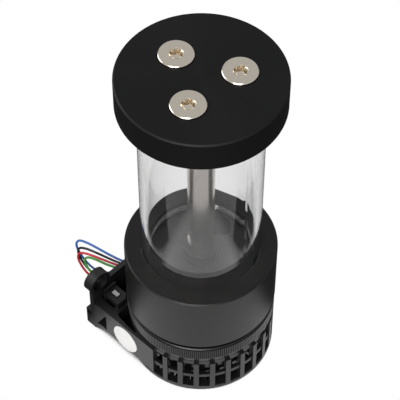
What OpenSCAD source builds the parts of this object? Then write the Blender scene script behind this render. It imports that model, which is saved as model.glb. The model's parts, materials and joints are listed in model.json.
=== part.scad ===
// Coolant pump reservoir: a clear tank on a pump, clamped by a knurled ring and held by a moulded bracket.
// Millimetres. The origin is on the pump's axis at the rest face, +Z up.
// The bracket's arm reaches to -X, and its front wall faces -Y.

/* [Tank] */
// Clear height of the tube between the pump top and the cap
tank_h = 107.2; // [85:1:180]
// Outside diameter of the clear tube
glass_d = 60; // [50:0.5:62]
// Wall of the clear tube
glass_wall = 3; // [2:0.25:4]
// Depth of the tube's seat in the pump top
glass_seat = 5; // [4.5:0.25:5.5]
// Outside diameter of the centre tube
post_d = 13.4; // [12.2:0.2:16]
// Height of the cut-out in the centre tube
window_h = 21; // [14:0.5:30]
// Width of the cut-out in the centre tube
window_w = 9; // [6:0.5:10]

/* [Cap] */
// Diameter of the cap
cap_d = 79.2; // [72:0.2:96]
// Thickness of the cap
cap_t = 16.4; // [13:0.2:20]
// Radius of the circle that the port plugs lie on
port_pitch_r = 17.5; // [16.5:0.25:17.75]
// Diameter of a plug's head
plug_d = 16.7; // [15.5:0.1:17]
// Height of a plug's head above the cap
plug_proud = 0.9; // [0.4:0.1:1.2]
// Width across the flats of a plug's socket
plug_key = 6; // [5:0.5:8]

/* [Pump top] */
// Diameter of the pump top
base_d = 77; // [76:0.2:84]
// Height of the pump top above its threaded skirt
base_h = 37.5; // [35:0.5:45]
// Diameter of the boss that carries the centre tube
boss_d = 18; // [16:0.5:22]
// Depth of the milled port face, measured from the pump top's side
port_face_cut = 1.5; // [1:0.1:2]

/* [Clamp ring] */
// Diameter over the knurl
ring_d = 76.6; // [75:0.2:80]
// Height of the knurled band
knurl_h = 8; // [6:0.5:10]
// Height of the plain taper below the knurl
taper_h = 3.7; // [3.5:0.1:5]
// Number of knurl teeth
knurl_count = 236; // [120:4:260]

/* [Pump] */
// Diameter of the motor can
can_d = 55; // [48:0.5:56]
// Diameter of the pump's flanges
flange_d = 61; // [59:0.5:62]
// Diameter of the impeller's shroud
impeller_d = 38; // [30:0.5:40]
// Number of impeller vanes
vane_count = 6; // [4:1:8]

/* [Bracket] */
// Height of the cage's bars
cage_h = 24.1; // [20:0.1:30]
// Diameter over the cage's bars
cage_d = 76.6; // [76:0.2:84]
// Width of a cage bar
bar_w = 2.7; // [2:0.1:4]
// Number of cage bars
bar_count = 13; // [10:1:13]
// Distance from the pump's axis to the end plate's outer face
arm_reach = 43.5; // [43.5:0.5:56]
// Thickness of the end plate
plate_t = 2.8; // [2:0.1:4]
// Outside diameter of the mounting bosses
stud_d = 13.6; // [12:0.2:15]
// Distance between the mounting bosses' axes
stud_span = 66; // [62:0.2:68]

/* [Leads] */
// Diameter of one wire
lead_d = 1.3; // [1.1:0.1:1.4]

/* [Hidden] */

$fn = 96;
eps = 0.01;    // how far a cutter runs past the face that it cuts
fit = 0.15;    // clearance of parts that slide together
seat = 0.05;   // clearance of faces that rest on each other

black = [0.10, 0.10, 0.11];
moulded = [0.22, 0.22, 0.23];
nickel = [0.75, 0.73, 0.69];
steel = [0.62, 0.62, 0.62];
rubber = [0.06, 0.06, 0.06];
copper = [0.72, 0.42, 0.22];

// Levels, from the rest face up
cage_floor = 2.5;
ring_gap = 1.5;                          // between the cage's bars and the clamp ring
ring_z = cage_h + ring_gap;
ring_top = ring_z + taper_h + knurl_h;
base_z = ring_top + 3.5;                 // underside of the pump top's wide part
base_top = base_z + base_h;
cap_z = base_top + tank_h;
cap_top = cap_z + cap_t;
lip_t = 3.15;                            // the clamp ring's lip
flange_z = ring_z + lip_t + seat;        // underside of the motor can's flange
can_flange_t = 1.5;
sep_z = flange_z + can_flange_t;         // underside of the separator's flange
sep_t = 2;
sep_top = sep_z + sep_t;
skirt_z = sep_z + 0.7;                   // lower end of the pump top's skirt
pump_seal_r = 1.1;
pump_seal_inset = 2.3;                   // from the flange's rim to the middle of the seal

// Tank
glass_r = glass_d / 2;
bore_r = glass_r - glass_wall;
glass_z = base_top - glass_seat;
floor_z = glass_z - 1;
cap_seat = 4.5;
glass_top = cap_z + cap_seat - seat;
post_r = post_d / 2;
spigot_r = post_r - 1.2;
post_bore_r = post_r - 2.1;
spigot_h = 8;
window_z = base_top + 16.2;              // middle of the cut-out
window_dir = -126;
seal_r = 0.8;                            // section of the cap's and the tank's O-rings
seal_gap = 0.3;
groove_h = 2 * seal_r + 0.3;
cap_seal_z = cap_z + 1.4 + groove_h / 2;
tank_seal_z = base_top - 2.6;

// Cap and plugs
cap_r = cap_d / 2;
plug_r = plug_d / 2;
port_r = 6.6;                            // wall of a G1/4 port hole
plug_shank_r = 5.75;                     // root of a G1/4 thread
plug_shank_l = 8;
plug_head_t = 2.6;
plug_seat_z = cap_top + plug_proud - plug_head_t;
plug_seal_r = 0.55;
plug_seal_mid = (port_r + plug_r) / 2;
port_count = 3;
port_phase = 54.7;                       // direction of the first port

// Pump top
base_r = base_d / 2;
port_dir = 110.5;                        // direction that the milled port face looks in
port_face = base_r - port_face_cut;
outlet_r = 6.58;                         // wall of the G1/4 outlet
outlet_depth = 10.5;
outlet_z = base_z + 9.7;
well_r = 6.5;                            // suction hole in the tank's floor
well_dir = 102;
well_out = 18.9;
duct_r = 5;
duct_z = base_z + 20.7;
well_z = duct_z - duct_r;
volute_r = 24;
volute_top = base_z + 8.2;
skirt_r = base_r - 4.2;

// Clamp ring
ring_r = ring_d / 2;
taper_r = ring_r - 1.5;
knurl_depth = 0.45;
lip_r = can_d / 2 + 0.7;
ring_bore = skirt_r + fit;

// Pump
can_r = can_d / 2;
can_wall = 1.5;
flange_r = flange_d / 2;
dome_r = 20;                             // outside of the separator's dome
dome_wall = 0.8;
dome_z = sep_z - 10.3;                   // centre of the dome's sphere
magnet_in = dome_r + 0.6;
rotor_in = magnet_in + 2;
rotor_out = rotor_in + 1.4;
rotor_z = sep_top + 0.9;
ball_r = 2.5;
ball_play = 0.06;
ball_z = dome_z + dome_r + ball_r + seat;
shroud_t = 1;
shroud_top = volute_top - 0.7;
eye_r = 6.5;
stator_r = dome_r - dome_wall - 0.2;
hub_r = 7.7;                             // the stator's hub
pole_count = 6;
pole_w = 6;
winding_r = 9.6;                         // where each pole's winding starts, its length and thickness
winding_l = 5.2;
winding_t = 1.5;
board_t = 1.6;
stand_h = 4.4;                           // the can's bosses, which carry the board
can_floor = cage_floor + 1.6;
board_z = can_floor + stand_h;
pole_z = board_z + board_t + 4;
pole_top = dome_z + 8.5;                 // top of a pole's waist
screw_pitch_r = 20;
screw_r = 1.25;
screw_dirs = [45, 135, 225, 315];

// Bracket
cage_r = cage_d / 2;
bar_first = -74.6;                       // direction of the first bar
bar_pitch = 12.7;
bar_deep = 3.1;
hoop_z = 11.3;                           // the cage's middle hoop
hoop_h = 2.3;
top_hoop_h = 2.9;
top_hoop_z = cage_h + 1.1 - top_hoop_h;
back_wall_in = cage_r - 3;               // the cage's closed side, inside the arm
back_wall_out = cage_r - 1;
vent_count = 24;                         // slots in the cage's floor
vent_w = 3;
vent_l = 5.5;
panel_x = 2.9;                           // where the arm's walls run into the cage
wall_y = cage_r;                         // outer plane of the arm's walls
plate_x = arm_reach - plate_t;           // inner face of the end plate
plate_y = wall_y + 0.5;
ridge_z = 34.2;
stud_r = stud_d / 2;
stud_y = stud_span / 2;
stud_z = 35.2;
stud_out = 2.7;                          // the bosses stand this far out of the end plate
stud_face = arm_reach + stud_out;
stud_wall = 2;
stud_floor = 2.5;
stud_hole_r = 2.2;                       // clearance hole for an M4 screw
web_z = 4.5;                             // top of the web between the arm's walls
web_y = wall_y - 3;
web_l = 20;
block_z = 27.6;                          // top of the nut block
block_slab = 2.2;                        // its top slab overhangs the block by block_inset
block_inset = 1.4;
block_lip = 1.2;                         // lip between the nut and the end plate
block_lip_h = 2.6;
block_y = 32.6;
block_x = 28.5;
block_w = 8;
block_gap = 1.4;                         // between the block and the end plate
block_clear = 0.9;                       // between the block and the clamp ring above the cage
nut_w = 4;                               // the nuts' width, thickness and middle
nut_t = 2.4;
nut_x = 34;
nut_y = 28.8;
nut_proud = 0.9;
badge_r = 8.5;
badge_t = 1;
badge_deep = 0.6;
badge_x = -17.8;
badge_z = 12.3;
hook_out = 3.5;
hook_h = 12.8;
hook_deep = 7.5;
hook_slot_z = 8.2;
hook_slot_h = 3.8;

// Wires: the exits in the grommet, then each route over the floor to the coil's edge, point by point.
// A route's X is counted from the exits.
lead_r = lead_d / 2;
exit_x = -arm_reach - 0.8;
exit_z = 26;
exit_ys = [-9.4, -11.2, -13, -14.8];
grommet_w = 9.4;
grommet_h = 4.6;
coil_x = exit_x - 5.7;
coil_y = 50;
coil_pitch = 1.35;
coil_mid_r = 7.6;
coil_turns = 3;                          // turns in one layer
coil_out_r = coil_mid_r + coil_turns / 2 * coil_pitch;
coil_in_r = coil_mid_r - coil_turns / 2 * coil_pitch;
coil_h = 8 * coil_pitch;
blue_route = [[0, -9.4, 26], [-5.2, -11.6, 26.6], [-11.7, -13.6, 27.4], [-19.2, -15, 27.4],
    [-26.2, -15.8, 26], [-31.7, -16, 22.6], [-34.3, -16, 17], [-33.3, -15.6, 11], [-28.7, -15, 5.4],
    [-22.7, -13.6, 1.9], [-17.3, -10, 0.75], [-13.7, -4.4, 0.68], [-13.15, 4, 0.68], [-13.35, 14, 0.68],
    [-14.2, 25, 0.68], [-15.1, 37, 0.68], [-15.3, 50, 0.7]];
black_route = [[0, -11.2, 26], [-5.1, -13.6, 26.6], [-11, -15.7, 27.2], [-17.4, -17.3, 26.9],
    [-23.7, -18.2, 25], [-28.7, -18.4, 21], [-30.7, -18.2, 15.5], [-29.5, -17.8, 10], [-25.2, -17.2, 4.8],
    [-19.7, -15.6, 1.7], [-14.7, -11.4, 0.75], [-12.1, -5, 0.7], [-11.65, 4, 0.7], [-11.85, 14, 0.75],
    [-12.9, 25, 1.2], [-14.1, 35, 2.5], [-15.2, 42.5, 3.2], [-15.3, 50, 3.4]];
red_route = [[0, -13, 26], [-5.3, -15.6, 26.6], [-10.7, -17.8, 27], [-16.7, -19.6, 26.6],
    [-22.2, -20.6, 24.6], [-26.5, -20.9, 20.6], [-28.1, -20.7, 15], [-26.7, -20.3, 9.6],
    [-22.7, -19.6, 4.7], [-17.5, -17.8, 1.6], [-13.1, -13.4, 0.75], [-10.5, -6, 0.7], [-10.1, 3, 0.7],
    [-10.3, 13, 0.8], [-11.5, 25, 1.7], [-13.7, 35, 4.4], [-15.1, 43, 5.8], [-15.3, 50, 6.1]];
green_route = [[0, -14.8, 26], [-4.3, -16.2, 25.2], [-9.2, -17.6, 24.4], [-15.2, -18.8, 23.6],
    [-20.5, -19.4, 21.2], [-23.7, -19.4, 17], [-24.3, -19.2, 12.4], [-21.7, -18.9, 8], [-17.1, -17.9, 4.4],
    [-12.3, -15.3, 1.9], [-9.2, -10.2, 0.85], [-8.5, -3.5, 0.7], [-8.5, 4, 0.72], [-8.8, 14, 0.95],
    [-10, 25, 2.5], [-12.9, 35, 6.4], [-14.9, 43, 8.4], [-15.3, 50, 8.8]];
// Each wire's height over the last stretch, from the coil to the plug
blue_tail = [2, 1.8, 1.5, 1.3];
black_tail = [4.7, 4.5, 4.1, 3.9];
red_tail = [7.4, 7.1, 6.7, 6.4];
green_tail = [10.1, 9.8, 9.2, 8.9];
plug_x = coil_x + 12;                          // rear face of the wires' plug
plug_y = 59.6;
plug_l = 12.5;
plug_w = 5.8;
plug_h = 10.2;
plug_ways = 4;
plug_way_pitch = 2.54;
inner_z = 19;                            // where the wires leave the motor can
gland_x = 29;

// ---- shared shapes ----

// A plain ring from z0 to z1
module ring(outer, inner, z0, z1) {
    translate([0, 0, z0]) difference() {
        cylinder(r = outer, h = z1 - z0);
        translate([0, 0, -eps]) cylinder(r = inner, h = z1 - z0 + 2 * eps);
    }
}

// A turned disc from z0 to z1 with a bevel on each rim
module turned(r, z0, z1, top_bevel, low_bevel) {
    rotate_extrude() polygon([[0, z0], [r - low_bevel, z0], [r, z0 + low_bevel], [r, z1 - top_bevel],
        [r - top_bevel, z1], [0, z1]]);
}

module o_ring(mid_r, section_r, z) {
    translate([0, 0, z]) rotate_extrude() translate([mid_r, 0]) circle(r = section_r, $fn = 24);
}

// A rectangle with round corners, centred
module soft_rect(w, h, r) {
    square([w - 2 * r, h], center = true);
    square([w, h - 2 * r], center = true);
    for (x = [-1, 1], y = [-1, 1]) translate([x * (w / 2 - r), y * (h / 2 - r)]) circle(r = r, $fn = 32);
}

module at_port(i) {
    rotate(port_phase + i * 360 / port_count) translate([port_pitch_r, 0, 0]) children();
}

// A drawing in the Y-Z plane, extruded from x0 to x1
module along_x(x0, x1) {
    translate([x0, 0, 0]) rotate([90, 0, 90]) linear_extrude(x1 - x0) children();
}

// A drawing in the X-Z plane, extruded from y0 to y1
module along_y(y0, y1) {
    translate([0, y1, 0]) rotate([90, 0, 0]) linear_extrude(y1 - y0) children();
}

// ---- tank and cap ----

module top_cap() {
    color(black) difference() {
        turned(cap_r, cap_z, cap_top, 0.7, 0.4);
        ring(glass_r + fit, bore_r - fit, cap_z - 1, cap_z + cap_seat);
        ring(glass_r + seal_gap + 2 * seal_r + seat, glass_r - eps, cap_seal_z - groove_h / 2,
            cap_seal_z + groove_h / 2);
        translate([0, 0, cap_z - 1]) cylinder(r = spigot_r + 0.1, h = spigot_h + 2);
        for (i = [0 : port_count - 1]) at_port(i) {
            translate([0, 0, cap_z - 1]) cylinder(r = port_r, h = cap_t + 2);
            translate([0, 0, plug_seat_z - seat]) cylinder(r = plug_r + 0.3, h = 10);
        }
    }
}

module port_plug(i) {
    color(nickel) at_port(i) difference() {
        union() {
            turned(plug_r, plug_seat_z, plug_seat_z + plug_head_t, 0.35, 0.1);
            turned(plug_shank_r, plug_seat_z - plug_shank_l, plug_seat_z + eps, eps, 0.6);
        }
        translate([0, 0, plug_seat_z - 1.6]) cylinder(r = plug_key / sqrt(3), h = 10, $fn = 6);
        translate([0, 0, plug_seat_z - 3]) cylinder(r1 = 0.2, r2 = plug_key / 2, h = 1.4 + eps, $fn = 48);
        translate([0, 0, plug_seat_z + plug_head_t - 0.35])
            cylinder(r1 = plug_key / 2 - 0.05, r2 = plug_key / 2 + 0.5, h = 0.36, $fn = 48);
        ring(plug_seal_mid + plug_seal_r + 0.1, plug_seal_mid - plug_seal_r - 0.1, plug_seat_z - 1,
            plug_seat_z + 2 * plug_seal_r);
    }
}

module port_plug_1() { port_plug(0); }
module port_plug_2() { port_plug(1); }
module port_plug_3() { port_plug(2); }

module plug_seal(i) {
    color(rubber) at_port(i) o_ring(plug_seal_mid, plug_seal_r - seat, plug_seat_z + plug_seal_r);
}

module plug_seal_1() { plug_seal(0); }
module plug_seal_2() { plug_seal(1); }
module plug_seal_3() { plug_seal(2); }

module cap_seal() {
    color(rubber) o_ring(glass_r + seal_gap + seal_r, seal_r, cap_seal_z);
}

module tank_seal() {
    color(rubber) o_ring(glass_r + seal_gap + seal_r, seal_r, tank_seal_z);
}

module glass_tube() {
    color([0.85, 0.9, 0.92, 0.3]) ring(glass_r, bore_r, glass_z + seat, glass_top);
}

module centre_tube() {
    color(nickel) difference() {
        union() {
            translate([0, 0, base_top]) cylinder(r = post_r, h = tank_h - seat);
            translate([0, 0, base_top - spigot_h]) cylinder(r = spigot_r, h = tank_h + 2 * spigot_h);
        }
        translate([0, 0, base_top - spigot_h - 1])
            cylinder(r = post_bore_r, h = tank_h + 2 * spigot_h + 2);
        rotate(window_dir) translate([0, 0, window_z]) rotate([90, 0, 90])
            linear_extrude(post_r + 1) soft_rect(window_w, window_h, 2);
    }
}

// ---- pump top ----

module pump_top() {
    color(black) difference() {
        union() {
            turned(base_r, base_z, base_top, 0.7, 0.5);
            turned(skirt_r, skirt_z, base_z + eps, eps, 0.8);
        }
        // the tank's seat, floor and seal groove, round the boss
        ring(glass_r + fit, boss_d / 2, glass_z, base_top + 1);
        ring(bore_r, boss_d / 2, floor_z, glass_z + 1);
        ring(glass_r + seal_gap + 2 * seal_r + seat, glass_r - eps, tank_seal_z - groove_h / 2,
            tank_seal_z + groove_h / 2);
        translate([0, 0, base_top - spigot_h - 1]) cylinder(r = spigot_r + 0.1, h = spigot_h + 2);
        // suction: a well in the floor, a cross duct and the pump's eye
        rotate(well_dir) translate([well_out, 0, well_z]) cylinder(r = well_r, h = floor_z - well_z + 1);
        rotate(well_dir) translate([0, 0, duct_z]) rotate([0, 90, 0]) cylinder(r = duct_r, h = well_out);
        translate([0, 0, volute_top - 1]) cylinder(r = eye_r - 0.5, h = duct_z - volute_top + 1);
        // the pump's chamber, open to the separator below
        translate([0, 0, skirt_z - 2]) cylinder(r = volute_r, h = volute_top - skirt_z + 2);
        translate([0, 0, skirt_z - 2]) cylinder(r = flange_r + 0.2, h = sep_top + 0.1 - skirt_z + 2);
        ring(flange_r - pump_seal_inset + pump_seal_r + 0.1, flange_r - pump_seal_inset - pump_seal_r - 0.1,
            sep_top, sep_top + 2 * pump_seal_r + seat);
        // the milled port face and the outlet behind it
        rotate(port_dir) translate([port_face, -base_r, base_z - 1]) cube([10, base_d, base_h + 2]);
        rotate(port_dir) translate([port_face - outlet_depth, 0, outlet_z]) rotate([0, 90, 0])
            cylinder(r = outlet_r, h = outlet_depth + 1);
        rotate(port_dir) translate([volute_r - 6, 0, outlet_z - 1]) rotate([0, 90, 0])
            cylinder(r = duct_r, h = 10);
    }
}

module pump_seal() {
    color(rubber) o_ring(flange_r - pump_seal_inset, pump_seal_r, sep_top + pump_seal_r + 0.02);
}

// ---- clamp ring ----

// The knurl's outline: flat-topped teeth with V grooves between them
function knurl_points(r, deep, n) = [for (i = [0 : n - 1]) each [
    let (a = 360 / n * i) [(r - deep) * cos(a), (r - deep) * sin(a)],
    let (a = 360 / n * (i + 0.3)) [r * cos(a), r * sin(a)],
    let (a = 360 / n * (i + 0.7)) [r * cos(a), r * sin(a)]]];

module clamp_ring() {
    knurl_z = ring_z + taper_h;
    core_r = ring_r - knurl_depth - 0.15;
    bevel = 0.5;
    color(moulded) difference() {
        union() {
            translate([0, 0, knurl_z]) linear_extrude(knurl_h - bevel)
                polygon(knurl_points(ring_r, knurl_depth, knurl_count));
            rotate_extrude() polygon([[lip_r - 1, ring_z], [taper_r, ring_z], [core_r, knurl_z + 0.2],
                [core_r, ring_top - bevel], [core_r - bevel, ring_top], [lip_r - 1, ring_top]]);
        }
        translate([0, 0, ring_z - 1]) cylinder(r = lip_r, h = lip_t + 2);
        translate([0, 0, ring_z + lip_t]) cylinder(r = ring_bore, h = ring_top - ring_z);
    }
}

// ---- pump ----

module separator() {
    color(steel) difference() {
        union() {
            ring(flange_r, 10, sep_z, sep_top);
            intersection() {
                translate([0, 0, dome_z]) sphere(r = dome_r);
                translate([0, 0, sep_z]) cylinder(r = dome_r, h = dome_r);
            }
            translate([0, 0, dome_z + dome_r - 0.4]) cylinder(r = 1.8, h = 1.6, $fn = 32);
        }
        translate([0, 0, dome_z]) sphere(r = dome_r - dome_wall);
        translate([0, 0, ball_z]) sphere(r = ball_r + 0.03, $fn = 48);
    }
}

module bearing_ball() {
    color([0.9, 0.9, 0.88]) translate([0, 0, ball_z]) sphere(r = ball_r, $fn = 48);
}

// The part of a ball-shaped shell above the rotor's lower rim
module shell(outer, inner) {
    intersection() {
        translate([0, 0, dome_z]) difference() {
            sphere(r = outer);
            sphere(r = inner);
        }
        translate([0, 0, rotor_z]) cylinder(r = outer + 1, h = outer);
    }
}

module rotor() {
    hub_top = ball_z + ball_r + 1.2;
    color([0.16, 0.16, 0.18]) difference() {
        union() {
            shell(rotor_out, rotor_in);
            translate([0, 0, dome_z + magnet_in - 1]) cylinder(r = 5, h = hub_top - dome_z - magnet_in + 1);
        }
        translate([0, 0, dome_z]) sphere(r = magnet_in);
        translate([0, 0, ball_z]) sphere(r = ball_r + ball_play, $fn = 48);
        translate([0, 0, ball_z - ball_r - 1]) cylinder(r = ball_r + ball_play, h = ball_r + 1);
    }
}

module rotor_magnet() {
    color([0.3, 0.3, 0.32]) difference() {
        shell(rotor_in - seat, magnet_in);
        translate([0, 0, dome_z]) cylinder(r = 5.2, h = 40);
    }
}

// One vane: a curved wall from the hub to the shroud's rim
module vane() {
    bend_r = impeller_d * 0.42;
    intersection() {
        translate([bend_r * 0.55, -bend_r * 0.7]) difference() {
            circle(r = bend_r);
            circle(r = bend_r - 1.2);
        }
        difference() {
            circle(r = impeller_d / 2);
            circle(r = eye_r);
            translate([-50, -50]) square([50, 100]);
        }
    }
}

module impeller() {
    vane_z = dome_z + rotor_out - 7;
    color([0.2, 0.2, 0.22]) {
        ring(impeller_d / 2, eye_r, shroud_top - shroud_t, shroud_top);
        difference() {
            translate([0, 0, vane_z]) linear_extrude(shroud_top - shroud_t / 2 - vane_z)
                for (i = [0 : vane_count - 1]) rotate(i * 360 / vane_count) vane();
            translate([0, 0, dome_z]) sphere(r = rotor_out + 0.02);
        }
    }
}

module at_pole(i) {
    rotate((i + 0.5) * 360 / pole_count) children();
}

module stator_core() {
    color([0.35, 0.35, 0.38]) {
        translate([0, 0, board_z + board_t]) cylinder(r = 4, h = 5);
        translate([0, 0, pole_z]) cylinder(r = hub_r, h = pole_top + 2 - pole_z);
        // the windings lie in a waist of each pole
        for (i = [0 : pole_count - 1]) at_pole(i) difference() {
            intersection() {
                translate([0, 0, dome_z]) sphere(r = stator_r);
                translate([hub_r - 0.5, -pole_w / 2, pole_z + seat]) cube([stator_r, pole_w, stator_r * 2]);
            }
            translate([winding_r - 0.1, -pole_w, pole_top]) cube([winding_l + 0.2, 2 * pole_w, stator_r]);
        }
    }
}

module stator_coils() {
    color(copper) for (i = [0 : pole_count - 1]) at_pole(i) difference() {
        translate([winding_r, -pole_w / 2 - winding_t, pole_z - winding_t])
            cube([winding_l, pole_w + 2 * winding_t, pole_top - pole_z + 2 * winding_t]);
        translate([winding_r - 1, -pole_w / 2 - seat, pole_z - seat])
            cube([winding_l + 2, pole_w + 2 * seat, pole_top - pole_z + 2 * seat]);
    }
}

module motor_housing() {
    color([0.13, 0.13, 0.14]) difference() {
        union() {
            turned(can_r, cage_floor, flange_z + eps, eps, 0.8);
            ring(flange_r, can_r - 1, flange_z, flange_z + can_flange_t - seat);
            // the gland that the wires leave through
            translate([-gland_x, exit_ys[3] - 2, inner_z - 2.5]) cube([10, exit_ys[0] - exit_ys[3] + 4, 5]);
        }
        difference() {
            translate([0, 0, can_floor]) cylinder(r = can_r - can_wall, h = 40);
            for (a = screw_dirs) rotate(a) translate([screw_pitch_r, 0, can_floor - 1])
                cylinder(r = 3.2, h = stand_h + 1, $fn = 48);
        }
        for (a = screw_dirs) rotate(a) translate([screw_pitch_r, 0, cage_floor - 1])
            cylinder(r = screw_r + seat, h = 7, $fn = 32);
    }
}

module circuit_board() {
    color([0.05, 0.3, 0.15]) difference() {
        translate([0, 0, board_z]) cylinder(r = can_r - can_wall - 0.6, h = board_t - seat);
        translate([-can_r, -8, board_z - 1]) cube([4.5, 16, 4]);
    }
}

module board_parts() {
    top = board_z + board_t;
    color([0.25, 0.25, 0.3]) {
        for (a = [20, 70, 160]) rotate(a) translate([21.5, 0, top]) cylinder(r = 2.8, h = 7, $fn = 32);
        for (a = [110, 200, 250, 290, 335]) rotate(a) translate([19.5, -2.5, top]) cube([4, 5, 1.6]);
    }
}

// ---- bracket ----

// The round cage: a vented floor, bars, hoops and, inside the arm, a closed wall
module cage() {
    turned(cage_r - seat, 0, cage_floor, 0.4, 0.6);
    for (i = [0 : bar_count - 1]) rotate(bar_first + i * bar_pitch) intersection() {
        translate([cage_r - bar_deep, -bar_w / 2, 1]) cube([bar_deep + 1, bar_w, cage_h]);
        cylinder(r = cage_r, h = cage_h);
    }
    ring(cage_r - 0.7, cage_r - 2.5, hoop_z, hoop_z + hoop_h);
    ring(cage_r - 1.5, cage_r - 4.7, top_hoop_z, top_hoop_z + top_hoop_h);
    intersection() {
        ring(back_wall_out, back_wall_in, cage_floor - 0.5, top_hoop_z + 0.5);
        translate([-50 + panel_x, -50, 0]) cube([50, 100, 40]);
    }
}

// The arm's front wall, from the cage to the end plate; its height and thickness both change along it
module arm_wall() {
    intersection() {
        linear_extrude(40) polygon([[panel_x, -wall_y], [-plate_x + 4, -wall_y], [-plate_x, -plate_y],
            [-plate_x - 1, -plate_y], [-plate_x - 1, -wall_y + 5.2], [-27.2, -wall_y + 4.6],
            [-25.6, -wall_y + 2.9], [-16, -wall_y + 1.7], [-8, -wall_y + 1.3], [panel_x, -wall_y + 3]]);
        along_y(-60, 0) difference() {
            polygon([[panel_x, 3.2], [panel_x, cage_h], [-plate_x - 1, cage_h - 2], [-plate_x - 1, 0.6],
                [-plate_x, 0.6], [-33, 4.3]]);
            polygon([[-plate_x + 1.6, 5.6], [-32.2, 5.6], [-32.2, 17.6], [-33, 17.6]]);
        }
    }
}

// What both ends of the arm have: boss, hook, rib and nut block
module arm_end() {
    arm_wall();
    translate([-stud_face, -stud_y, stud_z]) rotate([0, 90, 0]) cylinder(r = stud_r, h = plate_t + stud_out);
    translate([-arm_reach - hook_out, -plate_y, 0]) cube([hook_out + 1, hook_deep, hook_h]);
    translate([-28.9, -wall_y + 3, cage_floor]) cube([2, 12, cage_h - 1.3 - cage_floor]);
    nut_block();
}

// The block that holds a nut: a slab on a narrower foot, with a lip beside the end plate
module nut_block() {
    block_l = plate_x - block_gap - block_x;
    difference() {
        translate([-plate_x + block_gap, -block_y, 0]) {
            translate([0, 0, block_z - block_slab]) cube([block_l, block_w, block_slab]);
            translate([0, block_inset, cage_floor])
                cube([block_l - block_inset, block_w - block_inset, block_z - cage_floor - eps]);
            translate([0, 0, cage_floor]) cube([block_lip, block_w, block_z + block_lip_h - cage_floor]);
        }
        translate([0, 0, top_hoop_z]) cylinder(r = cage_r + block_clear, h = 40);
    }
}

// What is cut from each end of the arm
module arm_end_cuts() {
    translate([-stud_face + stud_floor, -stud_y, stud_z]) rotate([0, 90, 0])
        cylinder(r = stud_r - stud_wall, h = plate_t + stud_out - stud_floor + block_gap);
    translate([-stud_face - 1, -stud_y, stud_z]) rotate([0, 90, 0])
        cylinder(r = stud_hole_r, h = stud_floor + 2, $fn = 48);
    translate([-arm_reach - hook_out + 0.5, -plate_y - 1, hook_slot_z])
        cube([hook_out - 0.5, 6, hook_slot_h]);
    translate([-nut_x - nut_w / 2 - 0.9, -nut_y - nut_t / 2 - 0.2, block_z + nut_proud - nut_w - seat])
        cube([nut_w + 1.1, nut_t + 1.1, nut_w]);
}

module pump_bracket() {
    color(moulded) difference() {
        union() {
            cage();
            arm_end();
            mirror([0, 1, 0]) arm_end();
            along_x(-arm_reach, -plate_x) {
                translate([-plate_y, 0]) square([2 * plate_y, cage_h]);
                translate([-stud_y, 0]) square([2 * stud_y, ridge_z]);
                for (s = [-1, 1]) translate([s * (stud_y + plate_y) / 2, stud_z / 2])
                    square([plate_y - stud_y, stud_z], center = true);
            }
            difference() {
                translate([-plate_x - 1, -web_y, cage_floor]) cube([web_l, 2 * web_y, web_z - cage_floor]);
                cylinder(r = back_wall_in + 0.5, h = 20);
            }
        }
        arm_end_cuts();
        mirror([0, 1, 0]) arm_end_cuts();
        // seat of the badge
        along_y(-wall_y - 1, -wall_y + badge_deep) translate([badge_x, badge_z]) circle(r = badge_r + 0.3);
        // the grommet's hole in the end plate, and the wires' way through the cage
        along_x(-arm_reach - 1, -plate_x + 1) translate([(exit_ys[0] + exit_ys[3]) / 2, exit_z])
            soft_rect(grommet_w, grommet_h, 1.5);
        translate([-cage_r - 1, exit_ys[3] - 2, inner_z - 2]) cube([10, exit_ys[0] - exit_ys[3] + 4, 10]);
        // vents and screw holes in the floor
        for (i = [0 : vent_count - 1]) rotate((i + 0.5) * 360 / vent_count)
            translate([can_r + 1, -vent_w / 2, -1]) cube([vent_l, vent_w, cage_floor + 2]);
        for (a = screw_dirs) rotate(a) translate([screw_pitch_r, 0, -eps]) {
            cylinder(r = screw_r + 0.2, h = cage_floor + 1, $fn = 32);
            cylinder(r1 = 2.95, r2 = screw_r + 0.2, h = 1.7, $fn = 32);
        }
    }
}

module cage_screws() {
    color(steel) for (a = screw_dirs) rotate(a) translate([screw_pitch_r, 0, 0]) difference() {
        union() {
            translate([0, 0, 0.2]) cylinder(r1 = 2.7, r2 = screw_r, h = 1.4, $fn = 32);
            translate([0, 0, 0.2]) cylinder(r = screw_r, h = 7, $fn = 32);
        }
        translate([0, 0, -1]) cylinder(r = 1.1, h = 2, $fn = 6);
    }
}

module badge() {
    color([0.92, 0.92, 0.9]) translate([badge_x, -wall_y + badge_deep - seat, badge_z]) rotate([90, 0, 0])
        turned(badge_r, 0, badge_t, 0.25, 0);
}

module captive_nuts() {
    color([0.85, 0.85, 0.85]) for (s = [-1, 1])
        translate([-nut_x, s * nut_y, block_z + nut_proud - nut_w / 2])
        difference() {
            cube([nut_w, nut_t, nut_w], center = true);
            rotate([90, 0, 0]) cylinder(r = 1, h = 10, center = true, $fn = 32);
        }
}

// ---- wires ----

module lead_grommet() {
    mid = (exit_ys[0] + exit_ys[3]) / 2;
    color(rubber) difference() {
        union() {
            along_x(-arm_reach, -plate_x) translate([mid, exit_z]) soft_rect(grommet_w, grommet_h, 1.5);
            along_x(exit_x, -arm_reach) translate([mid, exit_z])
                soft_rect(grommet_w + 1.6, grommet_h + 1.6, 2);
        }
        for (y = exit_ys) translate([exit_x - 1, y, exit_z]) rotate([0, 90, 0])
            cylinder(r = lead_r + 0.02, h = 8, $fn = 24);
    }
}

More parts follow.
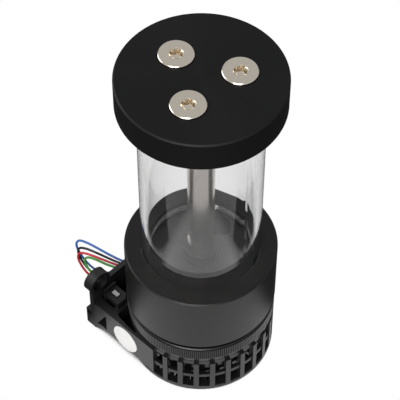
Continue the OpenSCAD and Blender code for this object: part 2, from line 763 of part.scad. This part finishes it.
// A smooth curve through the points of a route, with `cuts` steps between each two
function spline(p, i, t) =
    let (a = p[max(i - 1, 0)], b = p[i], c = p[i + 1], d = p[min(i + 2, len(p) - 1)])
    0.5 * (2 * b + (c - a) * t + (2 * a - 5 * b + 4 * c - d) * t ^ 2 + (3 * b - a - 3 * c + d) * t ^ 3);
function smooth_route(p, cuts) = concat(
    [for (i = [0 : len(p) - 2]) for (k = [0 : cuts - 1]) spline(p, i, k / cuts)], [p[len(p) - 1]]);
function unit(v) = v / norm(v);
function heading(p, i) = unit(p[min(i + 1, len(p) - 1)] - p[max(i - 1, 0)]);
// A direction square to the route that stays level, so that the rings don't twist
function level(h) = abs(h[0]) + abs(h[1]) < 0.05 ? [0, 1, 0] : unit(cross([0, 0, 1], h));
lead_sides = 8;

module tube(p, r) {
    n = len(p);
    points = [for (i = [0 : n - 1]) let (h = heading(p, i), u = level(h), v = cross(h, u))
        for (k = [0 : lead_sides - 1]) let (a = k * 360 / lead_sides) p[i] + r * (u * cos(a) + v * sin(a))];
    sides = [for (i = [0 : n - 2]) for (k = [0 : lead_sides - 1]) let (m = (k + 1) % lead_sides)
        [i * lead_sides + k, (i + 1) * lead_sides + k, (i + 1) * lead_sides + m, i * lead_sides + m]];
    polyhedron(points, concat([[for (k = [0 : lead_sides - 1]) k]], sides,
        [[for (k = [lead_sides - 1 : -1 : 0]) (n - 1) * lead_sides + k]]), convexity = 10);
}

module lead(route, tail) {
    translate([exit_x, 0, 0]) tube(smooth_route(route, 3), lead_r);
    steps = len(tail) - 1;
    tube([for (i = [0 : steps]) [coil_x + (plug_x - coil_x) * i / steps, plug_y, tail[i]]], lead_r);
}

module lead_blue() { color([0.2, 0.4, 0.8]) lead(blue_route, blue_tail); }
module lead_black() { color([0.08, 0.08, 0.08]) lead(black_route, black_tail); }
module lead_red() { color([0.75, 0.15, 0.15]) lead(red_route, red_tail); }
module lead_green() { color([0.3, 0.6, 0.2]) lead(green_route, green_tail); }

// The wires inside the arm, from the can's gland to the grommet
module inner_leads() {
    color([0.3, 0.3, 0.3]) for (y = exit_ys)
        tube(smooth_route([[-gland_x, y, inner_z], [-32.5, y, inner_z], [-36, y, inner_z + 1.2],
            [-38.3, y, inner_z + 4], [-39.4, y, exit_z - 0.8], [-41, y, exit_z],
            [exit_x, y, exit_z]], 2), lead_r);
}

module lead_coil() {
    color([0.2, 0.2, 0.2]) translate([coil_x, coil_y, 0])
        ring(coil_out_r + lead_r, coil_in_r - lead_r, 0, coil_h);
}

module coil_ties() {
    color(rubber) translate([coil_x, coil_y, 0]) for (a = [20, 240]) rotate(a) difference() {
        translate([coil_in_r - lead_r - 0.9, -1.2, 0])
            cube([coil_out_r - coil_in_r + 2 * lead_r + 1.8, 2.4, coil_h + 0.8]);
        ring(coil_out_r + lead_r, coil_in_r - lead_r, -1, coil_h);
    }
}

module lead_plug() {
    color([0.15, 0.15, 0.15]) difference() {
        union() {
            translate([plug_x, plug_y - plug_w / 2, 0]) cube([plug_l, plug_w, plug_h]);
            translate([plug_x + 1, plug_y - plug_w / 2 - 0.8, 1.8]) cube([plug_l - 2, 1, 1.2]);
            translate([plug_x + 1, plug_y - plug_w / 2 - 0.8, 5.8]) cube([plug_l - 2, 1, 1.2]);
        }
        for (i = [0 : plug_ways - 1]) translate([plug_x + 3, plug_y - 0.9, 1.29 + i * plug_way_pitch - 0.9])
            cube([plug_l, 1.8, 1.8]);
    }
}

module plug_contacts() {
    color(nickel) for (i = [0 : plug_ways - 1])
        translate([plug_x + 3, plug_y - 0.7, 1.29 + i * plug_way_pitch - 0.7]) difference() {
            cube([plug_l - 4.5, 1.4, 1.4]);
            translate([2, 0.3, 0.3]) cube([plug_l, 0.8, 0.8]);
        }
}

top_cap();
port_plug_1();
port_plug_2();
port_plug_3();
plug_seal_1();
plug_seal_2();
plug_seal_3();
cap_seal();
glass_tube();
centre_tube();
tank_seal();
pump_top();
pump_seal();
clamp_ring();
separator();
bearing_ball();
rotor();
rotor_magnet();
impeller();
stator_core();
stator_coils();
motor_housing();
circuit_board();
board_parts();
pump_bracket();
cage_screws();
badge();
captive_nuts();
lead_grommet();
inner_leads();
lead_blue();
lead_black();
lead_red();
lead_green();
lead_coil();
coil_ties();
lead_plug();
plug_contacts();
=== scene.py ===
"""Looks of the coolant pump reservoir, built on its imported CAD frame. Metres, in the frame's own axes."""

import json
import math

import bmesh
import bpy
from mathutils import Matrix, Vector


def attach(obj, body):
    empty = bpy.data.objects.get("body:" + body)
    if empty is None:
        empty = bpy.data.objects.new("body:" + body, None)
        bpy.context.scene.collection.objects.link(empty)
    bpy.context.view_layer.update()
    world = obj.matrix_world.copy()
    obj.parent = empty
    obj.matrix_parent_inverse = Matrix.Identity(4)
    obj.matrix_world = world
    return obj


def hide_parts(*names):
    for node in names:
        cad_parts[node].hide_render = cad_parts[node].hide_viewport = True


MM = 0.001

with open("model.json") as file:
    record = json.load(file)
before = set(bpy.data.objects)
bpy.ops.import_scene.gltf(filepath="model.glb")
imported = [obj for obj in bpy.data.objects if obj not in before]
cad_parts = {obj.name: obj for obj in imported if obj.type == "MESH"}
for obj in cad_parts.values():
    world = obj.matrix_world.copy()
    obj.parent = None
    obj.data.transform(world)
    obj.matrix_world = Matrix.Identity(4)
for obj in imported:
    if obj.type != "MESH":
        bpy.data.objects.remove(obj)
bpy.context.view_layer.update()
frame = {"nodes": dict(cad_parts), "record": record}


def new_object(name, data):
    made = bpy.data.objects.new(name, data)
    bpy.context.scene.collection.objects.link(made)
    return made


# ---- camera ----

VIEW_AZIMUTH = math.radians(43.95)
VIEW_PITCH = math.radians(52.492)
VIEW_ROLL = math.radians(0.235)
CAMERA_PLACE = Vector((0.3464, -0.3593, 0.7619))
SENSOR_WIDTH = 36            # mm
FOCAL_LENGTH = 152.36        # mm
SHIFT = (-0.0027, 0.0032)    # in widths of the image
CLIP = (0.05, 10)


def make_camera():
    """The camera looks down on the object from its front right."""
    across, down = math.cos(VIEW_PITCH), math.sin(VIEW_PITCH)
    forward = Vector((-math.sin(VIEW_AZIMUTH) * across, math.cos(VIEW_AZIMUTH) * across, -down))
    level_right = Vector((math.cos(VIEW_AZIMUTH), math.sin(VIEW_AZIMUTH), 0))
    level_up = level_right.cross(forward)
    right = math.cos(VIEW_ROLL) * level_right + math.sin(VIEW_ROLL) * level_up
    up = right.cross(forward)
    data = bpy.data.cameras.new("camera")
    data.sensor_width = SENSOR_WIDTH
    data.lens = FOCAL_LENGTH
    data.shift_x, data.shift_y = SHIFT
    data.clip_start, data.clip_end = CLIP
    camera = new_object("camera", data)
    axes = ((right.x, up.x, -forward.x), (right.y, up.y, -forward.y), (right.z, up.z, -forward.z))
    for row in range(3):
        for column in range(3):
            camera.matrix_world[row][column] = axes[row][column]
        camera.matrix_world[row][3] = CAMERA_PLACE[row]
    bpy.context.scene.camera = camera


make_camera()


# ---- materials ----

class Tree:
    """A node tree that starts empty, with short calls for its nodes."""

    def __init__(self, tree):
        self.nodes, self.links = tree.nodes, tree.links
        self.nodes.clear()

    def link(self, source, target):
        self.links.new(source, target)

    def feed(self, source, target):
        """Links source to target if source is a socket, and sets target to it if it is a value."""
        if isinstance(source, bpy.types.NodeSocket):
            self.link(source, target)
        else:
            target.default_value = source

    def node(self, kind, **values):
        """A new node. Each value is for a property, or for an input whose spaces are written as _."""
        made = self.nodes.new(kind)
        for key, value in values.items():
            if hasattr(made, key):
                setattr(made, key, value)
            else:
                self.feed(value, made.inputs[key.replace("_", " ")])
        return made

    def calc(self, operation, *values):
        made = self.node("ShaderNodeMath", operation=operation)
        for value, target in zip(values, made.inputs):
            self.feed(value, target)
        return made.outputs[0]

    def vector_calc(self, operation, *values, result="Vector"):
        made = self.node("ShaderNodeVectorMath", operation=operation)
        for value, target in zip(values, made.inputs):
            self.feed(value, target)
        return made.outputs[result]

    def remap(self, source, low, high, start=0.0, end=1.0, interpolation="LINEAR"):
        """Maps source from [start, end] to [low, high]."""
        made = self.node("ShaderNodeMapRange", interpolation_type=interpolation, Value=source,
                         From_Min=start, From_Max=end, To_Min=low, To_Max=high)
        return made.outputs["Result"]

    def mix_shader(self, factor, first, second):
        made = self.node("ShaderNodeMixShader")
        for source, target in zip((factor, first, second), made.inputs):
            self.link(source, target)
        return made.outputs[0]

    def seen_or_lit(self, rays, seen, lit):
        """The shader seen for rays from the camera or out of glass, and the shader lit for all others."""
        direct = self.calc("MAXIMUM", rays["Is Camera Ray"], rays["Is Transmission Ray"])
        return self.mix_shader(direct, lit, seen)


class Shader(Tree):
    """A material with one Principled shader."""

    def __init__(self, name):
        self.material = bpy.data.materials.new(name)
        self.material.use_nodes = True
        super().__init__(self.material.node_tree)
        self.output = self.node("ShaderNodeOutputMaterial")
        self.bsdf = self.node("ShaderNodeBsdfPrincipled")
        self.link(self.bsdf.outputs[0], self.output.inputs["Surface"])

    def set(self, **values):
        """Each value goes to the shader's input of that name, whose spaces are written as _."""
        for key, value in values.items():
            self.feed(value, self.bsdf.inputs[key.replace("_", " ")])

    def noise(self, scale, detail, stretch=None):
        """Noise in object space: scale is in features per metre, and stretch squeezes it along each axis."""
        source = self.node("ShaderNodeTexCoord").outputs["Object"]
        if stretch:
            source = self.node("ShaderNodeMapping", Vector=source, Scale=stretch).outputs["Vector"]
        return self.node("ShaderNodeTexNoise", Vector=source, Scale=scale, Detail=detail).outputs["Fac"]

    def shades(self, factor, colour, darkest, lightest):
        """The colour, times a number from darkest to lightest as factor goes from 0 to 1."""
        made = self.node("ShaderNodeMix", data_type="RGBA")
        self.link(factor, made.inputs[0])
        made.inputs[6].default_value = (*(c * darkest for c in colour), 1)
        made.inputs[7].default_value = (*(min(1, c * lightest) for c in colour), 1)
        return made.outputs[2]

    def bump(self, height, distance, strength=1.0):
        return self.node("ShaderNodeBump", Height=height, Strength=strength, Distance=distance).outputs["Normal"]

    def radius(self):
        """Distance from the upright axis."""
        place = self.node("ShaderNodeTexCoord").outputs["Object"]
        return self.vector_calc("LENGTH", self.vector_calc("MULTIPLY", place, (1, 1, 0)), result="Value")


def srgb(*values):
    """Colour values as seen, 0 to 255, as the shader's linear ones."""
    return tuple(((v / 255 + 0.055) / 1.055) ** 2.4 if v > 10 else v / 255 / 12.92 for v in values)


RING_PITCH = 0.00012
RING_DEPTH = 0.000002
ACETAL_GRAIN, ACETAL_WEAR = 900, 300      # features per metre, here and in the next two scales
MOULD_GRAIN, MOULD_MOTTLE = 2500, 120
GLASS_SMEAR = 60
ACETAL_ROUGHNESS = (0.36, 0.44)
GLASS_ROUGHNESS = (0.0, 0.012)
MOULD_BUMP = 0.00002
MOULD_SPREAD, METAL_SPREAD = 0.06, 0.05   # how far the roughness wanders to each side
GLASS_IOR = 1.47
GLASS_DENSITY = 16.0                      # per metre, so that only the tube's edges look dark
GLASS_TINT = (0.1, 0.1, 0.1, 1)


def turned_finish(shader):
    """Fine rings from the lathe's tool, about the upright axis."""
    phase = shader.calc("MULTIPLY", shader.radius(), 2 * math.pi / RING_PITCH)
    return shader.bump(shader.calc("SINE", phase), RING_DEPTH)


def black_acetal(name, colour, gloss, brushed):
    """Turned black plastic: gloss is its specular level, brushed how far its highlight follows the rings."""
    shader = Shader(name)
    rings = shader.node("ShaderNodeTangent", direction_type="RADIAL", axis="Z").outputs[0]
    shader.set(Specular_IOR_Level=gloss, Anisotropic=brushed, Tangent=rings,
               Base_Color=shader.shades(shader.noise(ACETAL_GRAIN, 3), colour, 0.85, 1.15),
               Roughness=shader.remap(shader.noise(ACETAL_WEAR, 2), *ACETAL_ROUGHNESS),
               Normal=turned_finish(shader))
    return shader.material


def moulded_plastic(name, colour, roughness):
    """Plastic or rubber with a fine grain from its mould."""
    shader = Shader(name)
    fine = shader.noise(MOULD_GRAIN, 2)
    shader.set(Base_Color=shader.shades(shader.noise(MOULD_MOTTLE, 2), colour, 0.88, 1.12),
               Roughness=shader.remap(fine, roughness - MOULD_SPREAD, roughness + MOULD_SPREAD),
               Normal=shader.bump(fine, MOULD_BUMP, 0.5))
    return shader.material


def plain_metal(name, colour, roughness=0.25, grain=800, stretch=None):
    """Bare or plated metal, with a drawn finish where stretch is given."""
    shader = Shader(name)
    fine = shader.noise(grain, 3, stretch)
    shader.set(Metallic=1.0, Base_Color=shader.shades(fine, colour, 0.92, 1.06),
               Roughness=shader.remap(fine, roughness - METAL_SPREAD, roughness + METAL_SPREAD))
    return shader.material


def clear_glass(name):
    shader = Shader(name)
    shader.set(Base_Color=(1, 1, 1, 1), Transmission_Weight=1.0, IOR=GLASS_IOR,
               Roughness=shader.remap(shader.noise(GLASS_SMEAR, 2), *GLASS_ROUGHNESS))
    tint = shader.node("ShaderNodeVolumeAbsorption", Density=GLASS_DENSITY, Color=GLASS_TINT)
    shader.link(tint.outputs[0], shader.output.inputs["Volume"])
    return shader.material


MATERIALS = {name: make(name, *values) for make, name, *values in (
    (black_acetal, "cap_black", srgb(19, 19, 19), 0.17, 0.7),
    (black_acetal, "top_black", srgb(18, 17, 16), 0.36, 0.3),
    (moulded_plastic, "ring_black", srgb(26, 25, 26), 0.32),
    (plain_metal, "plug_nickel", srgb(236, 226, 210), 0.22, 1500),
    (plain_metal, "tube_metal", srgb(178, 172, 167), 0.2, 400, (1, 1, 30)),
    (clear_glass, "tank_glass"),
    (moulded_plastic, "seal_rubber", srgb(18, 18, 18), 0.6),
    (moulded_plastic, "bracket_black", srgb(24, 24, 25), 0.4),
    (moulded_plastic, "disc_white", srgb(226, 225, 222), 0.35),
    (plain_metal, "bright_steel", srgb(200, 200, 198), 0.25),
    (moulded_plastic, "ball_ceramic", srgb(225, 222, 214), 0.15),
    (moulded_plastic, "rotor_dark", srgb(60, 60, 64), 0.4),
    (plain_metal, "magnet_ferrite", srgb(70, 70, 72), 0.5),
    (moulded_plastic, "impeller_black", srgb(48, 48, 50), 0.45),
    (plain_metal, "core_iron", srgb(120, 120, 124), 0.45),
    (plain_metal, "coil_copper", srgb(200, 130, 80), 0.3),
    (moulded_plastic, "housing_black", srgb(22, 22, 23), 0.3),
    (moulded_plastic, "board_green", srgb(20, 90, 50), 0.35),
    (moulded_plastic, "chip_dark", srgb(50, 50, 54), 0.45),
    (moulded_plastic, "wire_blue", srgb(60, 105, 180), 0.4),
    (moulded_plastic, "wire_black", srgb(30, 28, 30), 0.4),
    (moulded_plastic, "wire_red", srgb(190, 40, 45), 0.4),
    (moulded_plastic, "wire_green", srgb(80, 160, 60), 0.4),
    (moulded_plastic, "plug_black", srgb(32, 32, 33), 0.5),
)}


def dress_nodes():
    """Every CAD node takes its slot's material."""
    for part in frame["record"]["subparts"]:
        node = frame["nodes"][part["node"]]
        node.data.materials.clear()
        node.data.materials.append(MATERIALS[part["material_slot"]])


dress_nodes()


# ---- wires ----

LEAD_D = 1.3 * MM
# The rest is in millimetres and repeats the CAD model's values
EXIT_X = -44.3
COIL_PLACE = (-50, 50)
COIL_MID_R = 7.6
COIL_TURNS = 3               # in each of a wire's two layers
COIL_PITCH = 1.35
PLUG_REAR = (-38, 59.6)
ROUTE_CUTS = 8
TURN_POINTS = 48

# From the exit to the coil, with X counted from the exit
ROUTES = {
    "blue": [(0, -9.4, 26), (-5.2, -11.6, 26.6), (-11.7, -13.6, 27.4), (-19.2, -15, 27.4),
             (-26.2, -15.8, 26), (-31.7, -16, 22.6), (-34.3, -16, 17), (-33.3, -15.6, 11),
             (-28.7, -15, 5.4), (-22.7, -13.6, 1.9), (-17.3, -10, 0.75), (-13.7, -4.4, 0.68),
             (-13.15, 4, 0.68), (-13.35, 14, 0.68), (-14.2, 25, 0.68), (-15.1, 37, 0.68), (-15.3, 50, 0.7)],
    "black": [(0, -11.2, 26), (-5.1, -13.6, 26.6), (-11, -15.7, 27.2), (-17.4, -17.3, 26.9),
             (-23.7, -18.2, 25), (-28.7, -18.4, 21), (-30.7, -18.2, 15.5), (-29.5, -17.8, 10),
             (-25.2, -17.2, 4.8), (-19.7, -15.6, 1.7), (-14.7, -11.4, 0.75), (-12.1, -5, 0.7),
             (-11.65, 4, 0.7), (-11.85, 14, 0.75), (-12.9, 25, 1.2), (-14.1, 35, 2.5), (-15.2, 42.5, 3.2),
             (-15.3, 50, 3.4)],
    "red": [(0, -13, 26), (-5.3, -15.6, 26.6), (-10.7, -17.8, 27), (-16.7, -19.6, 26.6),
             (-22.2, -20.6, 24.6), (-26.5, -20.9, 20.6), (-28.1, -20.7, 15), (-26.7, -20.3, 9.6),
             (-22.7, -19.6, 4.7), (-17.5, -17.8, 1.6), (-13.1, -13.4, 0.75), (-10.5, -6, 0.7),
             (-10.1, 3, 0.7), (-10.3, 13, 0.8), (-11.5, 25, 1.7), (-13.7, 35, 4.4), (-15.1, 43, 5.8),
             (-15.3, 50, 6.1)],
    "green": [(0, -14.8, 26), (-4.3, -16.2, 25.2), (-9.2, -17.6, 24.4), (-15.2, -18.8, 23.6),
             (-20.5, -19.4, 21.2), (-23.7, -19.4, 17), (-24.3, -19.2, 12.4), (-21.7, -18.9, 8),
             (-17.1, -17.9, 4.4), (-12.3, -15.3, 1.9), (-9.2, -10.2, 0.85), (-8.5, -3.5, 0.7),
             (-8.5, 4, 0.72), (-8.8, 14, 0.95), (-10, 25, 2.5), (-12.9, 35, 6.4), (-14.9, 43, 8.4),
             (-15.3, 50, 8.8)],
}
# From the coil to the plug
TAIL_HEIGHTS = {
    "blue": (2, 1.8, 1.5, 1.3),
    "black": (4.7, 4.5, 4.1, 3.9),
    "red": (7.4, 7.1, 6.7, 6.4),
    "green": (10.1, 9.8, 9.2, 8.9),
}


def smooth_route(points, cuts):
    """The same smooth curve through the points as the CAD model's."""
    p = [Vector(point) for point in points]
    last = len(p) - 1
    made = []
    for i in range(last):
        a, b, c, d = p[max(i - 1, 0)], p[i], p[i + 1], p[min(i + 2, last)]
        for k in range(cuts):
            t = k / cuts
            made.append(0.5 * (2 * b + (c - a) * t + (2 * a - 5 * b + 4 * c - d) * t ** 2
                               + (3 * b - a - 3 * c + d) * t ** 3))
    return made + [p[last]]


def coil_turns(low):
    """Turns inwards in the layer at height low, then outwards in the layer above, ending a quarter turn on."""
    half = COIL_TURNS * COIL_PITCH / 2
    steps_in = COIL_TURNS * TURN_POINTS
    steps_out = steps_in + TURN_POINTS // 4
    made = []
    for i in range(1, steps_in + steps_out):
        angle = math.pi - 2 * math.pi * i / TURN_POINTS
        inwards = min(i / steps_in, 1)
        outwards = max(i - steps_in, 0) / steps_out
        radius = COIL_MID_R + half - 2 * half * inwards + 2 * half * outwards
        rise = min(max((i - steps_in + TURN_POINTS / 4) / (TURN_POINTS / 2), 0), 1)
        made.append(Vector((COIL_PLACE[0] + radius * math.cos(angle), COIL_PLACE[1] + radius * math.sin(angle),
                            low + COIL_PITCH * rise * rise * (3 - 2 * rise))))
    return made


def wire_path(colour):
    """One wire's points, in metres: its route, its coil and its tail."""
    route = smooth_route([(x + EXIT_X, y, z) for x, y, z in ROUTES[colour]], ROUTE_CUTS)
    heights = TAIL_HEIGHTS[colour]
    step = (PLUG_REAR[0] - COIL_PLACE[0]) / (len(heights) - 1)
    tail = smooth_route([(COIL_PLACE[0] + i * step, PLUG_REAR[1], z) for i, z in enumerate(heights)], ROUTE_CUTS)
    return [point * MM for point in route + coil_turns(route[-1].z) + tail]


def make_wire(colour):
    """One wire as a curve, from the grommet to its plug."""
    points = wire_path(colour)
    data = bpy.data.curves.new("wire_" + colour, "CURVE")
    data.dimensions = "3D"
    data.bevel_depth = LEAD_D / 2
    data.bevel_resolution = 3
    data.use_fill_caps = True
    spline = data.splines.new("POLY")
    spline.points.add(len(points) - 1)
    for made, point in zip(spline.points, points):
        made.co = (*point, 1)
    wire = new_object("wire_" + colour, data)
    data.materials.append(MATERIALS["wire_" + colour])
    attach(wire, "root")
    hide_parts("lead_" + colour)
    return wire


wires = {colour: make_wire(colour) for colour in ROUTES}
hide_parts("lead_coil")


# ---- threads ----

# Degrees and millimetres
PORT_PHASE = 54.7
PORT_PITCH_R = 17.5
THREAD_TOP = 199.3
THREAD_DROP = 0.6            # the first turn starts this far below THREAD_TOP
THREAD_TURNS = 4.7
THREAD_PITCH = 1.337
THREAD_CUTS = 48
THREAD_PROFILE = ((5.65, -0.56), (6.5, -0.1), (6.5, 0.1), (5.65, 0.56))    # radius and height


def make_thread(number):
    """The screw thread on one plug's shank, which turns right-handed."""
    angle = math.radians(PORT_PHASE + 120 * (number - 1))
    centre = Vector((PORT_PITCH_R * math.cos(angle), PORT_PITCH_R * math.sin(angle), THREAD_TOP))
    steps = round(THREAD_TURNS * THREAD_CUTS)
    sides = len(THREAD_PROFILE)
    points, faces = [], []
    for i in range(steps + 1):
        turn = 2 * math.pi * i / THREAD_CUTS
        for radius, height in THREAD_PROFILE:
            points.append((centre + Vector((radius * math.cos(turn), -radius * math.sin(turn),
                                            height - THREAD_PITCH * i / THREAD_CUTS - THREAD_DROP))) * MM)
    for i in range(steps):
        for k in range(sides):
            m = (k + 1) % sides
            faces.append((i * sides + k, i * sides + m, (i + 1) * sides + m, (i + 1) * sides + k))
    faces.append(tuple(reversed(range(sides))))
    faces.append(tuple(range(steps * sides, (steps + 1) * sides)))
    mesh = bpy.data.meshes.new(f"thread_{number}")
    mesh.from_pydata(points, [], faces)
    work = bmesh.new()
    work.from_mesh(mesh)
    bmesh.ops.recalc_face_normals(work, faces=work.faces)
    work.to_mesh(mesh)
    work.free()
    thread = new_object(f"thread_{number}", mesh)
    mesh.materials.append(MATERIALS["plug_nickel"])
    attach(thread, f"plug_{number}")


for number in (1, 2, 3):
    make_thread(number)


# ---- floor and light ----

FLOOR_SIDE = 3
FLOOR_DROP = 0.0002
FLOOR_COLOUR = (0.85, 0.85, 0.85, 1)
# The camera sees the floor shaded at the part's foot, by how much of the sky is covered there
SHADE_REACH = 0.03
SHADE_RANGE = (0.25, 0.5)
SHADE_SAMPLES = 8
# Gloss sees a painted reflection: a glowing patch of floor on the camera's side, and a dim floor round it
BRIGHT_CENTRE = (0.0416, -0.0432)
BRIGHT_R = 0.084
BRIGHT_EDGE = 0.012
DIM_FLOOR = 0.06
# Two card-shaped patches of floor, left and right of the part, hold painted dark reflections: they turn dark
# only in reflections that come out through the clear tube, so nothing dark is seen straight through it.
CARD_ACROSS = (math.cos(VIEW_AZIMUTH), math.sin(VIEW_AZIMUTH), 0)
CARD_ALONG = (math.sin(VIEW_AZIMUTH), -math.cos(VIEW_AZIMUTH), 0)
CARD_PLACE = (0.112, 0.014)
CARD_HALF = (0.023, 0.048)
CARD_EDGE = 0.005
PAINTED_DARK_STRENGTH = 0.95
WORLD_TINT = (0.97, 0.98, 1, 1)
WORLD_STRENGTH = 0.5
LIGHT_SIDE = 0.8
LIGHT_TARGET = Vector((0, 0, 0.1))


def painted_dark_reflections(tree, rays, place):
    """Painted dark reflections: the given darkness on the card-shaped patches for rays that reflected and came
    out of the tube, and 0 for all else.
    """
    painted_share = tree.calc("MULTIPLY", tree.calc("MULTIPLY", rays["Is Transmission Ray"], PAINTED_DARK_STRENGTH),
                     tree.calc("MINIMUM", rays["Glossy Depth"], 1.0))
    across = tree.calc("ABSOLUTE", tree.vector_calc("DOT_PRODUCT", place, CARD_ACROSS, result="Value"))
    along = tree.vector_calc("DOT_PRODUCT", place, CARD_ALONG, result="Value")
    for source, middle, half in zip((across, along), CARD_PLACE, CARD_HALF):
        off = tree.calc("ABSOLUTE", tree.calc("SUBTRACT", source, middle))
        painted_share = tree.calc("MULTIPLY", painted_share, tree.remap(off, 1.0, 0.0, half - CARD_EDGE, half))
    return painted_share


def floor_shader(tree):
    """White to the camera with a soft shade at the part's foot, a glowing patch of limited size to gloss as a
    painted reflection, and painted dark reflections in the tube.
    """
    rays = tree.node("ShaderNodeLightPath").outputs
    place = tree.node("ShaderNodeNewGeometry").outputs["Position"]
    covered = tree.node("ShaderNodeAmbientOcclusion", samples=SHADE_SAMPLES, Distance=SHADE_REACH)
    open_air = tree.remap(covered.outputs["AO"], 0.0, 1.0, *SHADE_RANGE, interpolation="SMOOTHSTEP")
    # painted dark reflections, taken out of the white that the camera and the tube see
    outside_painted_dark = tree.calc("SUBTRACT", 1.0, painted_dark_reflections(tree, rays, place))
    seen = tree.node("ShaderNodeEmission", Strength=tree.calc("MULTIPLY", open_air, outside_painted_dark))

    # painted reflection: the floor glows for glossy rays only, brightest in the patch
    away = tree.vector_calc("DISTANCE", place, (*BRIGHT_CENTRE, 0), result="Value")
    patch = tree.remap(away, 1.0, DIM_FLOOR, BRIGHT_R - BRIGHT_EDGE / 2, BRIGHT_R + BRIGHT_EDGE / 2)
    mirrored = tree.node("ShaderNodeEmission", Strength=patch)
    diffuse = tree.node("ShaderNodeBsdfDiffuse", Color=FLOOR_COLOUR)
    lit = tree.mix_shader(rays["Is Glossy Ray"], diffuse.outputs[0], mirrored.outputs[0])
    return tree.seen_or_lit(rays, seen.outputs[0], lit)


def make_floor():
    half = FLOOR_SIDE / 2
    mesh = bpy.data.meshes.new("floor")
    mesh.from_pydata([(-half, -half, 0), (half, -half, 0), (half, half, 0), (-half, half, 0)], [], [(0, 1, 2, 3)])
    floor = new_object("floor", mesh)
    floor.location = (0, 0, -FLOOR_DROP)
    shade = bpy.data.materials.new("floor")
    shade.use_nodes = True
    tree = Tree(shade.node_tree)
    output = tree.node("ShaderNodeOutputMaterial")
    tree.link(floor_shader(tree), output.inputs["Surface"])
    mesh.materials.append(shade)


def make_world():
    """White to the camera, and a weaker light on everything."""
    world = bpy.data.worlds.new("world")
    bpy.context.scene.world = world
    world.use_nodes = True
    tree = Tree(world.node_tree)
    output = tree.node("ShaderNodeOutputWorld")
    seen = tree.node("ShaderNodeBackground", Color=(1, 1, 1, 1))
    lit = tree.node("ShaderNodeBackground", Color=WORLD_TINT, Strength=WORLD_STRENGTH)
    rays = tree.node("ShaderNodeLightPath").outputs
    tree.link(tree.seen_or_lit(rays, seen.outputs[0], lit.outputs[0]), output.inputs["Surface"])


def area_light(name, place, power):
    """A square soft light, aimed at the middle of the part."""
    data = bpy.data.lights.new(name, "AREA")
    data.shape = "RECTANGLE"
    data.size = data.size_y = LIGHT_SIDE
    data.energy = power
    light = new_object(name, data)
    light.location = place
    light.rotation_euler = (LIGHT_TARGET - Vector(place)).to_track_quat("-Z", "Y").to_euler()


make_floor()
make_world()
area_light("key", (0.5, -0.9, 0.9), 11)
area_light("fill", (-0.9, -0.4, 0.6), 5)
bpy.context.scene.view_settings.view_transform = "Standard"
